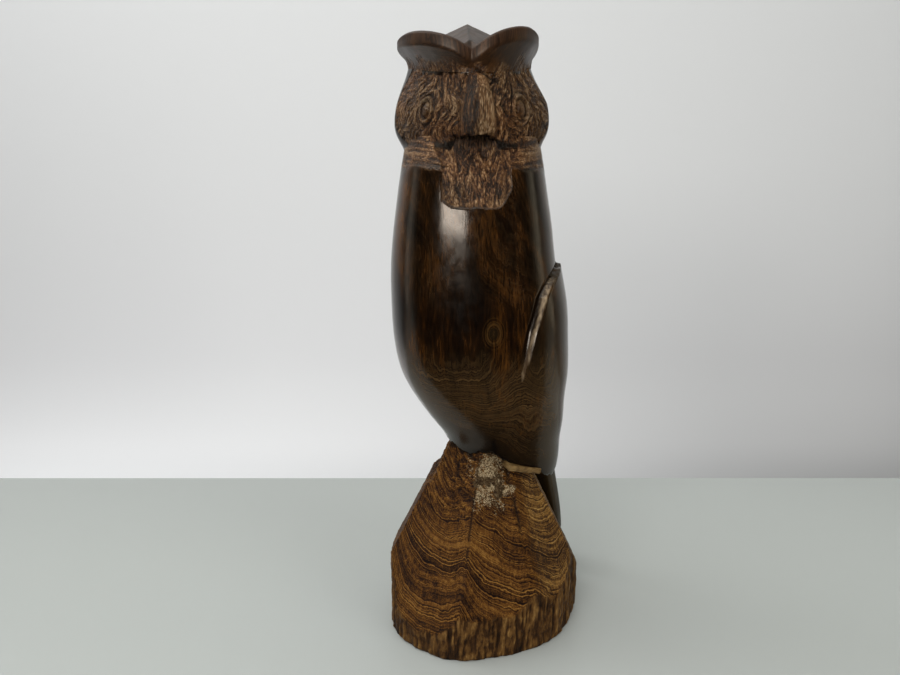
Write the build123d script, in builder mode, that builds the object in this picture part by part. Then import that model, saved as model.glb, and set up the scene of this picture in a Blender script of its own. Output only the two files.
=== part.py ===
"""Carved ironwood owl on a hewn stump, as a bench assembly.

The owl is one polished carving and the stump is a short length of log with sawn and hewn
faces. The two meet on a sloping seat, where a pair of pegs and a bed of glue and sawdust
hold them, with a thin pale shim closing the gap at the low side of the seam.

Frame: +Z up, the face looks along -Y, and the origin is the middle of the stump's underside.
All sizes are in millimetres and angles in degrees. A compass angle is counted from the
front, where -Y is 0 and +X is 90.
"""

from build123d import *
from math import cos, radians, sin
import os

# ---- stump -----------------------------------------------------------------------------
LOG_HEIGHT = 112.0  # uncut log, before the seat and the hewn faces are cut
LOG_OUTLINE = [
    (-54.5, 4.0),
    (-50.0, -18.0),
    (-36.0, -40.0),
    (-10.0, -52.0),
    (14.0, -49.5),
    (36.0, -40.0),
    (51.5, -18.0),
    (54.5, 6.0),
    (47.0, 30.0),
    (24.0, 46.0),
    (-8.0, 51.0),
    (-39.0, 38.0),
]
# compass angle, distance from the axis and height of the face's low edge, and steepness
HEWN_FACES = [
    (-88.0, 54.5, 37.0, 65.0),
    (-60.0, 53.0, 30.0, 70.0),
    (-28.0, 51.5, 17.0, 73.5),
    (8.0, 50.5, 16.0, 75.0),
    (42.0, 53.0, 18.0, 73.0),
    (80.0, 54.5, 26.0, 67.0),
    (142.0, 52.0, 20.0, 72.0),
    (-160.0, 50.0, 24.0, 72.0),
    (-122.0, 54.0, 30.0, 68.0),
]

# ---- seat between owl and stump --------------------------------------------------------
SEAT_MIDDLE = (5.0, 0.0, 99.5)
SEAT_SLOPE = 15.0  # the seat falls towards +X
GLUE_BED = 0.8  # thickness of glue and sawdust in the seam
BED_MIDDLE, BED_HALF_LENGTH, BED_HALF_WIDTH = (2.0, -3.0), 25.0, 27.0
FRONT_FACE = 3  # the hewn face that the filler has run down
# where the filler lies along and up that face, and its thickness and half sizes
SPILL_MIDDLE, SPILL_THICKNESS = (-4.0, 76.0), 1.4
SPILL_HALF_WIDTH, SPILL_HALF_LENGTH = 11.0, 13.0
PEG_RADIUS, PEG_LENGTH, PEG_GAP = 4.0, 34.0, 0.1
PEG_SPACING = 26.0  # between the two pegs, along the seat's level line
SHIM_MIDDLE = (17.0, -24.0)  # on the seat, near its low front edge
SHIM_LENGTH, SHIM_WIDTH, SHIM_THICKNESS, SHIM_TURN = 26.0, 14.0, 3.4, 24.0

# ---- body ------------------------------------------------------------------------------
BODY_TURN = 40.0  # the belly is turned this far towards -X from the face
# height, centre x, centre y, half width, half depth, from below the seat up to the neck
BODY_SECTIONS = [
    (78.0, 13.0, -3.0, 28.0, 25.0),
    (104.0, 10.0, -3.0, 31.5, 28.0),
    (124.0, 4.5, -4.0, 39.0, 35.5),
    (148.0, -0.5, -4.5, 45.2, 41.0),
    (176.0, -4.6, -4.5, 46.0, 42.0),
    (206.0, -7.4, -4.5, 43.6, 40.0),
    (232.0, -7.6, -5.0, 40.2, 37.0),
    (250.0, -8.0, -4.5, 36.8, 33.0),
    (261.0, -8.0, -3.5, 34.4, 28.5),
    (270.0, -8.0, -2.5, 26.0, 18.0),
]

# ---- wings -----------------------------------------------------------------------------
WING_PROUD = 2.6  # how far a wing stands out from the body
WING_FACING = 120.0  # compass angle of a wing's middle, counted from the belly's own front
# outline seen square on: distance forward (-) or back (+) from the wing's middle, and height
WING_OUTLINE = [
    (4.0, 206.0),
    (-16.0, 202.0),
    (-28.0, 190.0),
    (-34.0, 170.0),
    (-36.0, 152.0),
    (-22.0, 128.0),
    (6.0, 112.0),
    (34.0, 106.0),
    (38.0, 140.0),
    (28.0, 184.0),
]

# ---- tail ------------------------------------------------------------------------------
# height, centre x, centre y, half width, half thickness
TAIL_SECTIONS = [
    (132.0, 22.0, 18.0, 20.0, 9.0),
    (100.0, 29.0, 33.0, 17.0, 7.0),
    (70.0, 33.0, 42.5, 16.0, 5.5),
    (44.0, 37.0, 45.5, 17.5, 5.0),
    (24.0, 40.0, 47.5, 16.0, 4.0),
]

# ---- head ------------------------------------------------------------------------------
HEAD_X, HEAD_Y = -8.0, -6.0
# height, half width, half depth
HEAD_SECTIONS = [
    (256.0, 33.5, 31.0),
    (264.0, 36.0, 34.0),
    (274.0, 38.4, 36.5),
    (288.0, 36.0, 35.5),
    (300.0, 31.5, 33.0),
    (306.0, 30.5, 32.0),
]
FACE_TURN = 38.0  # each half of the face is turned this far from the front
FACE_RIDGE_Y = -41.0  # front line where the two halves of the face meet
DISC_OUT, DISC_HEIGHT = 27.0, 277.0  # middle of a face disc, along its half of the face
DISC_HALF_WIDTH, DISC_HALF_HEIGHT, DISC_EDGE = 19.5, 19.0, 1.5
DISC_PROUD, DISC_SUNK = 3.0, 6.0  # how far a disc stands out from the face, and how deep it goes
EYE_OUT, EYE_HEIGHT, EYE_RADIUS = 28.0, 278.5, 5.5
BEAK_TOP, BEAK_TIP = 292.0, 266.0
BEAK_TOP_OUTLINE = [(-16.0, -32.0), (-8.0, -43.0), (0.0, -32.0)]
BEAK_TIP_OUTLINE = [(-15.0, -34.0), (-8.0, -49.0), (0.0, -34.0)]

# ---- brow crest and crown --------------------------------------------------------------
CROWN_TOP = 322.0  # height of the whole figurine
CREST_FOOT, CREST_CORNER = 298.0, 5.0
# outlines seen from above, where the crest leaves the head and at its flared rim
CREST_FOOT_OUTLINE = [(-8.0, -37.0), (21.0, -17.0), (20.0, 8.0), (-8.0, 24.0), (-36.0, 8.0), (-37.0, -17.0)]
CREST_RIM_OUTLINE = [(-8.0, -47.0), (31.0, -21.0), (25.0, 12.0), (-8.0, 28.0), (-41.0, 12.0), (-47.0, -21.0)]
# the notch between the two brows, seen from the front, and how far back it runs
NOTCH_OUTLINE = [(-8.0, 304.0), (40.0, 326.0), (-56.0, 326.0)]
NOTCH_FRONT, NOTCH_LENGTH = 60.0, 34.0
CROWN_PEAK = (4.0, 0.0, CROWN_TOP)
CROWN_FALLS = [(0.0, 0.5, 1.0), (-0.13, -0.02, 1.0), (0.12, -0.02, 1.0)]  # back, left and right


def towards(compass, distance, height=0.0):
    """The point that far from the axis at a compass angle, at that height."""
    return (distance * sin(radians(compass)), -distance * cos(radians(compass)), height)


def hewn_plane(compass, distance, height, steepness):
    """The plane of a hewn face, its normal pointing out of the log and up, its x level."""
    turn, rise = radians(compass), radians(90.0 - steepness)
    across = towards(compass, cos(rise))
    level = (cos(turn), sin(turn), 0)
    origin = towards(compass, distance, height)
    return Plane(origin=origin, x_dir=level, z_dir=(across[0], across[1], sin(rise)))


def face_plane(side, out, height, proud=0.0):
    """A plane lying on one half of the face, out from the ridge between the halves."""
    turn = radians(FACE_TURN)
    origin = (HEAD_X + side * out * cos(turn), FACE_RIDGE_Y + out * sin(turn), height)
    level = (cos(turn), side * sin(turn), 0)
    return Plane(origin=origin, x_dir=level, z_dir=towards(side * FACE_TURN, 1.0)).offset(proud)


def body_shell(grown=0.0):
    """The smooth egg-like body between seat and neck, grown outwards by a few millimetres."""
    with BuildPart() as shell:
        for height, x, y, half_width, half_depth in BODY_SECTIONS:
            with BuildSketch(Plane.XY.offset(height)):
                with Locations((x, y)):
                    Ellipse(half_width + grown, half_depth + grown)
        loft()
    return shell.part


tilt = radians(SEAT_SLOPE)
seat = Plane(origin=SEAT_MIDDLE, x_dir=(cos(tilt), 0, -sin(tilt)), z_dir=(sin(tilt), 0, cos(tilt)))
owl_seat = seat.offset(GLUE_BED)
peg_places = [(0, -PEG_SPACING / 2), (0, PEG_SPACING / 2)]

# ---- seam shim: a thin pale wedge driven into the low front side of the seam --------------
with BuildPart() as seam_shim:
    with BuildSketch(seat):
        with Locations(Location((*SHIM_MIDDLE, 0), SHIM_TURN)):
            Rectangle(SHIM_LENGTH, SHIM_WIDTH)
    extrude(amount=-SHIM_THICKNESS)
seam_shim.part.label = "seam_shim"

# ---- pegs: two round pegs across the seam -------------------------------------------------
with BuildPart() as pegs:
    with BuildSketch(seat.offset(-PEG_LENGTH / 2)):
        with Locations(*peg_places):
            Circle(PEG_RADIUS)
    extrude(amount=PEG_LENGTH)
    chamfer(edges().filter_by(GeomType.CIRCLE), PEG_RADIUS / 5)
pegs.part.label = "pegs"

# ---- base block: the hewn stump -----------------------------------------------------------
with BuildPart() as base_block:
    with BuildSketch():
        with BuildLine():
            Spline(*LOG_OUTLINE, periodic=True)
        make_face()
    extrude(amount=LOG_HEIGHT)
    for hewn_face in HEWN_FACES:
        split(bisect_by=hewn_plane(*hewn_face), keep=Keep.BOTTOM)
    split(bisect_by=seat, keep=Keep.BOTTOM)
    with BuildSketch(seat):
        with Locations(*peg_places):
            Circle(PEG_RADIUS + PEG_GAP)
    extrude(amount=-PEG_LENGTH / 2, mode=Mode.SUBTRACT)
    add(seam_shim.part, mode=Mode.SUBTRACT)
base_block.part.label = "base_block"

# ---- owl figure: body, head, brow crest, face, wings and tail from one timber -------------
with BuildPart() as head_core:
    for height, half_width, half_depth in HEAD_SECTIONS:
        with BuildSketch(Plane.XY.offset(height)):
            with Locations((HEAD_X, HEAD_Y)):
                Ellipse(half_width, half_depth)
    loft()
    for side in (-1, 1):
        split(bisect_by=face_plane(side, 0.0, 0.0), keep=Keep.BOTTOM)

face_discs = []
for side in (-1, 1):
    with BuildPart() as disc:
        with BuildSketch(face_plane(side, DISC_OUT, DISC_HEIGHT, -DISC_SUNK)):
            Ellipse(DISC_HALF_WIDTH, DISC_HALF_HEIGHT)
        extrude(amount=DISC_SUNK + DISC_PROUD)
        chamfer(edges().filter_by(GeomType.ELLIPSE), DISC_EDGE)
        with Locations(face_plane(side, EYE_OUT, EYE_HEIGHT, DISC_PROUD - EYE_RADIUS / 3)):
            Sphere(EYE_RADIUS)
    face_discs.append(disc)

with BuildPart() as beak:
    for height, outline in ((BEAK_TIP, BEAK_TIP_OUTLINE), (BEAK_TOP, BEAK_TOP_OUTLINE)):
        with BuildSketch(Plane.XY.offset(height)):
            with BuildLine():
                Polyline(*outline, close=True)
            make_face()
    loft(ruled=True)

with BuildPart() as brow_crest:
    for height, outline in ((CREST_FOOT, CREST_FOOT_OUTLINE), (CROWN_TOP, CREST_RIM_OUTLINE)):
        with BuildSketch(Plane.XY.offset(height)):
            with BuildLine():
                Polyline(*outline, close=True)
            make_face()
            fillet(vertices(), CREST_CORNER)
    loft(ruled=True)
    with BuildSketch(Plane.XZ.offset(NOTCH_FRONT)):
        with BuildLine():
            Polyline(*NOTCH_OUTLINE, close=True)
        make_face()
    extrude(amount=-NOTCH_LENGTH, mode=Mode.SUBTRACT)
    for fall in CROWN_FALLS:
        split(bisect_by=Plane(origin=CROWN_PEAK, z_dir=fall), keep=Keep.BOTTOM)

with BuildPart() as wings:
    for side in (-1, 1):
        facing = -BODY_TURN + side * WING_FACING
        across = towards(facing + side * 90, 1.0)
        plane = Plane(origin=towards(facing, 90.0), x_dir=across, z_dir=towards(facing, side))
        with BuildSketch(plane):
            with BuildLine():
                Spline(*[(along, height * side) for along, height in WING_OUTLINE], periodic=True)
            make_face()
        extrude(amount=-side * 90.0)
    add(body_shell(WING_PROUD), mode=Mode.INTERSECT)

with BuildPart() as tail:
    for height, x, y, half_width, half_thickness in TAIL_SECTIONS:
        with BuildSketch(Plane.XY.offset(height)):
            with Locations((x, y)):
                Ellipse(half_width, half_thickness, rotation=-BODY_TURN)
    loft()

with BuildPart() as owl_figure:
    add(body_shell())
    add(wings.part)
    split(bisect_by=owl_seat, keep=Keep.TOP)
    for piece in (head_core, brow_crest, *face_discs, beak, tail):
        add(piece.part)
    with BuildSketch(owl_seat):
        with Locations(*peg_places):
            Circle(PEG_RADIUS + PEG_GAP)
    extrude(amount=PEG_LENGTH / 2, mode=Mode.SUBTRACT)
owl_figure.part.label = "owl_figure"

# ---- joint filler: the bed of glue and sawdust, and what has run down the stump in front ---
with BuildPart() as joint_filler:
    with BuildSketch(hewn_plane(*HEWN_FACES[FRONT_FACE])):
        with Locations(SPILL_MIDDLE):
            Ellipse(SPILL_HALF_WIDTH, SPILL_HALF_LENGTH)
    extrude(amount=SPILL_THICKNESS)
    split(bisect_by=owl_seat, keep=Keep.BOTTOM)
    with BuildSketch(seat):
        with Locations(BED_MIDDLE):
            Ellipse(BED_HALF_LENGTH, BED_HALF_WIDTH)
        with Locations(*peg_places):
            Circle(PEG_RADIUS + PEG_GAP, mode=Mode.SUBTRACT)
    extrude(amount=GLUE_BED)
    add(seam_shim.part, mode=Mode.SUBTRACT)
joint_filler.part.label = "joint_filler"

os.makedirs("parts", exist_ok=True)
for piece in (base_block, owl_figure, seam_shim, pegs, joint_filler):
    export_step(piece.part, f"parts/{piece.part.label}.step")
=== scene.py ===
"""Carved ironwood owl on a hewn stump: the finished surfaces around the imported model.

The owl's body, head and tail and the stump are skins worked out from formulas in a frame
with +Z up and the face towards -Y, in millimetres until each mesh is made. A compass angle
is counted from the front, where -Y is 0 and +X is 90.
"""
from functools import cache, cached_property
from itertools import product
from math import cos, pi, radians, sin

import bpy
import numpy as np
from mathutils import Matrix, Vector


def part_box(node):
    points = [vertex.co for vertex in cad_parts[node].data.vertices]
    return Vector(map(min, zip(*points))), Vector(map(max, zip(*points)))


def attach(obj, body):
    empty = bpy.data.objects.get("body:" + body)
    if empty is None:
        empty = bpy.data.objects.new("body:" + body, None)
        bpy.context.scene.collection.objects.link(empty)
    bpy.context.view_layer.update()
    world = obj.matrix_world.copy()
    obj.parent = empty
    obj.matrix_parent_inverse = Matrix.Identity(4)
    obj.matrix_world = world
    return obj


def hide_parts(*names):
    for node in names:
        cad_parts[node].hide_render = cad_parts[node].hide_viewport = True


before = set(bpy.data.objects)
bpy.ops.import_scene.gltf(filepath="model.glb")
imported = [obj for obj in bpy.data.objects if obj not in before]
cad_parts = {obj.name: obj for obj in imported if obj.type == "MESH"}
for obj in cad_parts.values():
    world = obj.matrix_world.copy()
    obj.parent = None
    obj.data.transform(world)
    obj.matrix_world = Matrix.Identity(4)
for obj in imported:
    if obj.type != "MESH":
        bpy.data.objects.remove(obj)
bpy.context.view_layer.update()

bl_info = {
    "name": "Carved Owl",
    "version": (1, 0, 0),
    "blender": (4, 5, 0),
    "location": "3D Viewport > Sidebar > Carved Owl",
    "description": "Builds a polished carved owl on a hewn stump, with its stage",
    "category": "Object",
}

MM = 0.001
PITH, STUMP_PITH = (1.0, 12.0), (7.0, 6.0)  # where each log's pith runs, seen from above, in mm
KNOT, KNOT_SIZE = (1.4, -46.0, 173.6), (4.4, 12.0, 6.4)

# ---- driving places, in mm ---------------------------------------------------------------
SEAT_MIDDLE, SEAT_SLOPE = (5.0, 0.0, 99.5), 15.0
BODY_TURN, BODY_TOP = 40.0, 266.0  # how far the belly is turned to the left, in degrees, and its top
HEAD_X, HEAD_Y = -8.0, -6.0

# height, centre x, centre y, half width, half depth
BODY_SECTIONS = np.array([
    (84, 11.0, -3.0, 28.0, 24.0),
    (100, 10.3, -3.0, 31.0, 27.0),
    (108, 9.9, -3.0, 31.6, 29.0),
    (118, 7.0, -3.2, 35.4, 32.3),
    (130, 2.4, -3.6, 39.3, 36.3),
    (146, -2.0, -4.2, 43.6, 40.4),
    (164, -4.2, -4.5, 45.2, 42.2),
    (184, -5.5, -4.5, 45.1, 41.8),
    (204, -7.4, -4.5, 43.0, 40.0),
    (224, -7.8, -4.8, 40.7, 37.8),
    (244, -8.1, -5.3, 37.7, 34.0),
    (256, -8.2, -5.8, 35.6, 30.6),
    (266, -8.3, -6.0, 33.5, 28.5),
])
# height, half width, half depth in front, half depth behind
HEAD_SECTIONS = np.array([
    (252, 33.0, 27.5, 30.0),
    (258, 33.8, 28.5, 31.0),
    (263, 36.0, 32.5, 33.0),
    (268, 38.6, 35.0, 34.4),
    (274, 39.5, 36.4, 35.4),
    (281, 38.6, 36.8, 35.6),
    (288, 36.4, 36.2, 34.6),
    (295, 33.6, 35.0, 33.2),
    (302, 31.8, 33.6, 32.0),
    (318, 31.0, 32.0, 30.5),
])
# compass angle, distance from the head's axis and height of the crest's rim
CREST_RIM = np.array([
    (-165, 31.3, 305.0), (-140, 31.2, 305.6), (-115, 32.0, 306.8), (-95, 35.0, 308.4), (-80, 37.8, 310.2),
    (-64, 38.8, 311.5), (-50, 39.3, 311.6), (-36, 39.5, 310.6), (-24, 39.6, 308.7), (-13, 39.1, 306.0),
    (-3, 38.4, 303.6), (7, 39.3, 306.4), (18, 39.3, 309.9), (32, 38.0, 312.4), (46, 35.8, 313.5),
    (60, 34.0, 313.2), (74, 32.6, 312.2), (92, 31.4, 309.8), (118, 31.0, 307.4), (145, 31.2, 305.8),
])
NOTCH_COMPASS = -3.0
CROWN_PEAK = (-11.0, -5.0, 320.6)
# each eye on the face's flat map: place across, half width, half height, and lean in radians
EYES, EYE_HEIGHT = ((-27.5, 3.9, 5.4, -0.32), (25.6, 5.2, 6.5, 0.36)), 277.4
TAIL_POWER = 0.62
# height, centre x, centre y, half width, half thickness
TAIL_SECTIONS = np.array([
    (150, 15.5, 12.0, 19.0, 12.0), (126, 21.5, 20.0, 18.5, 10.5), (100, 27.0, 31.0, 16.0, 8.4),
    (70, 32.4, 42.0, 15.5, 6.8), (44, 37.0, 45.5, 16.0, 6.0), (25, 40.0, 47.5, 15.0, 5.0),
])
# compass angle and distance from the axis of the log's outline
LOG_OUTLINE = np.array([
    (-171, 50.5), (-155, 51.5), (-138, 52.0), (-120, 52.3), (-100, 52.5), (-82, 53.1), (-70, 55.3),
    (-58, 57.0), (-46, 56.6), (-34, 55.8), (-22, 55.2), (-12, 53.0), (-2, 50.6), (10, 48.8), (22, 48.6),
    (36, 49.4), (50, 50.3), (62, 50.4), (74, 51.2), (86, 53.8), (100, 55.0), (120, 54.3), (142, 52.5),
    (165, 50.5),
])
# compass angle, distance at the foot, height of that foot, and how much it leans in per mm of height
HEWN_FACES = np.array([
    (-96, 53.6, 37.0, 0.50),
    (-36, 55.2, 14.0, 0.335),
    (12, 50.8, 16.0, 0.275),
    (44, 51.4, 22.0, 0.325),
    (92, 55.4, 26.0, 0.475),
    (142, 52.0, 20.0, 0.32),
    (-160, 50.0, 24.0, 0.32),
    (-122, 54.0, 30.0, 0.40),
])


# ---- curves and noise --------------------------------------------------------------------
def spline(knots, values, at):
    """Natural cubic through the knots, so that a polished surface has no kink in it."""
    knots, values = np.asarray(knots, float), np.asarray(values, float)
    step = np.diff(knots)
    count = len(knots)
    system, right = np.eye(count), np.zeros(count)
    for k in range(1, count - 1):
        system[k, k - 1:k + 2] = step[k - 1], 2 * (step[k - 1] + step[k]), step[k]
        right[k] = 6 * ((values[k + 1] - values[k]) / step[k] - (values[k] - values[k - 1]) / step[k - 1])
    bend = np.linalg.solve(system, right)
    k = np.clip(np.searchsorted(knots, at) - 1, 0, count - 2)
    low, high, width = at - knots[k], knots[k + 1] - at, step[k]
    return ((bend[k] * high**3 + bend[k + 1] * low**3) / (6 * width)
            + (values[k] / width - bend[k] * width / 6) * high
            + (values[k + 1] / width - bend[k + 1] * width / 6) * low)


def around(table, column, compass):
    """A closed smooth curve through a table whose first column is the compass angle."""
    angles = np.concatenate([table[-3:, 0] - 360, table[:, 0], table[:3, 0] + 360])
    values = np.concatenate([table[-3:, column], table[:, column], table[:3, column]])
    return spline(angles, values, wrapped(compass))


def wrapped(compass):
    """The same angle between -180 and 180."""
    return (np.asarray(compass) + 180.0) % 360.0 - 180.0


def spot(*parts):
    """Places whose X, Y and Z are given apart, each a number or an array."""
    return np.stack(np.broadcast_arrays(*parts), -1)


def unit(a, u):
    """A direction of length 1."""
    length = np.hypot(a, u) + 1e-9
    return a / length, u / length


def turned(a, u, angle):
    """A flat direction or place, turned by an angle in radians."""
    return a * np.cos(angle) - u * np.sin(angle), a * np.sin(angle) + u * np.cos(angle)


def stepped(angle, size=0.32):
    """An angle in whole steps, so that strokes lie in patches, each cut in one direction."""
    return np.round(angle / size) * size


def squared(wave, power):
    """A sine or cosine with fuller shoulders, so that a round section turns squarer."""
    return np.sign(wave) * np.abs(wave) ** power


def shares(count, end=True):
    """A column of numbers from 0 to 1, the last of them left out where end is False."""
    return np.linspace(0, 1, count, endpoint=end)[:, None]


def ease(low, high, value):
    """0 below low, 1 above high, smooth between."""
    t = np.clip((value - low) / (high - low), 0, 1)
    return t * t * (3 - 2 * t)


def bump(value, middle, half_width):
    """1 at the middle, falling smoothly to 0 a little past half_width away."""
    return np.exp(-((value - middle) / half_width) ** 2)


@cache
def lattice(seed):
    """The table of random values behind one seed's noise."""
    return np.random.default_rng(seed).random((32, 32, 32))


def noise(points, size, seed):
    """Smooth noise from 0 to 1 at points in mm, with lumps of about that size, which may differ by axis."""
    table = lattice(seed)
    q = np.asarray(points, float) / np.asarray(size, float) + 1000.0
    cell = np.floor(q).astype(int)
    f = q - cell
    f = f * f * (3 - 2 * f)
    total = 0.0
    for dx, dy, dz in product((0, 1), repeat=3):
        weight = (np.where(dx, f[..., 0], 1 - f[..., 0]) * np.where(dy, f[..., 1], 1 - f[..., 1])
                  * np.where(dz, f[..., 2], 1 - f[..., 2]))
        total = total + weight * table[(cell[..., 0] + dx) % 32, (cell[..., 1] + dy) % 32,
                                       (cell[..., 2] + dz) % 32]
    return total


def rough(points, size, seed, octaves=3):
    """Noise of several sizes, centred on 0."""
    total, weight = 0.0, 1.0
    for k in range(octaves):
        total = total + weight * (noise(points, np.asarray(size, float) / 2**k, seed + k) - 0.5)
        weight *= 0.5
    return total


def strokes(across, up, direction, length, width, seed):
    """Carved strokes from about -1 to 1: noise drawn out along a field of directions."""
    step = width * 0.5
    total = np.zeros_like(across)
    for way in (-1.0, 1.0):
        a, u = across.copy(), up.copy()
        for _ in range(int(length / step / 2)):
            da, du = direction(a, u)
            a, u = a + way * step * da, u + way * step * du
            total += noise(spot(a, u, 0.0), width, seed) - 0.5
    total /= total.std() + 1e-9
    return np.tanh(total * 0.8)


def groove(across, up, line, width):
    """1 along a line of points, falling to 0 at about that width from it."""
    nearest = np.full_like(across, 1e9)
    for (a0, u0), (a1, u1) in zip(line[:-1], line[1:]):
        along = np.array([a1 - a0, u1 - u0], float)
        t = np.clip(((across - a0) * along[0] + (up - u0) * along[1]) / (along @ along), 0, 1)
        nearest = np.minimum(nearest, np.hypot(across - a0 - t * along[0], up - u0 - t * along[1]))
    return np.exp(-(nearest / width) ** 2)


# ---- skins -------------------------------------------------------------------------------
def spaced(low, high, step_at):
    """Values from low to high whose spacing follows step_at, a function of the value."""
    fine = np.linspace(low, high, 4000)
    count = np.concatenate([[0], np.cumsum(np.diff(fine) / step_at(fine[:-1]))])
    return np.interp(np.linspace(0, count[-1], int(round(count[-1])) + 1), count, fine)


def compass_columns(fine, coarse, middle, half, radius):
    """Compass angles all round, finely spaced within half of the middle, in mm at that radius."""
    def step_at(angle):
        away = np.abs(wrapped(angle - middle))
        mm = fine + (coarse - fine) * ease(half, half + 30, away)
        return np.degrees(mm / radius)
    return spaced(middle - 180, middle + 180, step_at)[:-1]


def normals(points):
    """Outward normals of a grid of points, rows up and columns round."""
    across = np.roll(points, -1, 1) - np.roll(points, 1, 1)
    up = np.gradient(points, axis=0)
    normal = np.cross(across, up)
    return normal / (np.linalg.norm(normal, axis=2, keepdims=True) + 1e-12)


def polar(compass, radius, height, centre_x=0.0, centre_y=0.0):
    """Points at a compass angle and distance from a centre."""
    turn = np.radians(compass)
    return spot(centre_x + radius * np.sin(turn), centre_y - radius * np.cos(turn), height)


def oval_radius(compass, wide, deep, power):
    """Distance from its centre of an oval's edge, squarer as the power rises above 2."""
    turn = np.radians(compass)
    return (np.abs(np.sin(turn) / wide) ** power + np.abs(np.cos(turn) / deep) ** power) ** (-1 / power)


def linked(name, data):
    """A new object in the scene."""
    made = bpy.data.objects.new(name, data)
    bpy.context.scene.collection.objects.link(made)
    return made


def skin(name, points, marks, finish, bottom=None, top=None):
    """A closed mesh over a grid of points in mm, with a pole at each end and its marks as attributes."""
    rows, columns = points.shape[:2]
    ends = [points[0].mean(0) if bottom is None else bottom, points[-1].mean(0) if top is None else top]
    vertices = np.concatenate([points.reshape(-1, 3), ends]) * MM
    index = np.arange(rows * columns).reshape(rows, columns)
    right = np.roll(index, -1, 1)
    quads = np.stack([index[:-1], right[:-1], right[1:], index[1:]], -1).reshape(-1, 4)
    low, high = rows * columns, rows * columns + 1
    fans = [(low, int(b), int(a)) for a, b in zip(index[0], right[0])]
    fans += [(high, int(a), int(b)) for a, b in zip(index[-1], right[-1])]
    mesh = bpy.data.meshes.new(name)
    mesh.from_pydata(vertices.tolist(), [], quads.tolist() + fans)
    mesh.polygons.foreach_set("use_smooth", np.ones(len(mesh.polygons), bool))
    for mark, values in marks.items():
        flat = np.broadcast_to(values, (rows, columns)).reshape(-1)
        whole = np.concatenate([flat, [flat[:columns].mean(), flat[-columns:].mean()]])
        mesh.attributes.new(mark, "FLOAT", "POINT").data.foreach_set("value", whole.astype(np.float32))
    mesh.materials.append(material(finish))
    return linked(name, mesh)




# ---- nodes -------------------------------------------------------------------------------
def add_node(tree, kind, inputs=None, **settings):
    """A new node: its settings first, then its inputs, each a plain value or what feeds it."""
    made = tree.nodes.new(kind)
    for key, value in settings.items():
        setattr(made, key, value)
    for key, value in (inputs or {}).items():
        value = getattr(value, "socket", value)
        if isinstance(value, bpy.types.NodeSocket):
            tree.links.new(value, made.inputs[key])
        else:
            made.inputs[key].default_value = value
    return made


class Flow:
    """What a shader's node gives out. Adding, subtracting and multiplying make Math nodes."""

    def __init__(self, shader, socket):
        self.shader, self.socket = shader, socket

    def __add__(self, other):
        return self.shader.math("ADD", self, other)

    def __sub__(self, other):
        return self.shader.math("SUBTRACT", self, other)

    def __rsub__(self, other):
        return self.shader.math("SUBTRACT", other, self)

    def __mul__(self, other):
        return self.shader.math("MULTIPLY", self, other)


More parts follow.
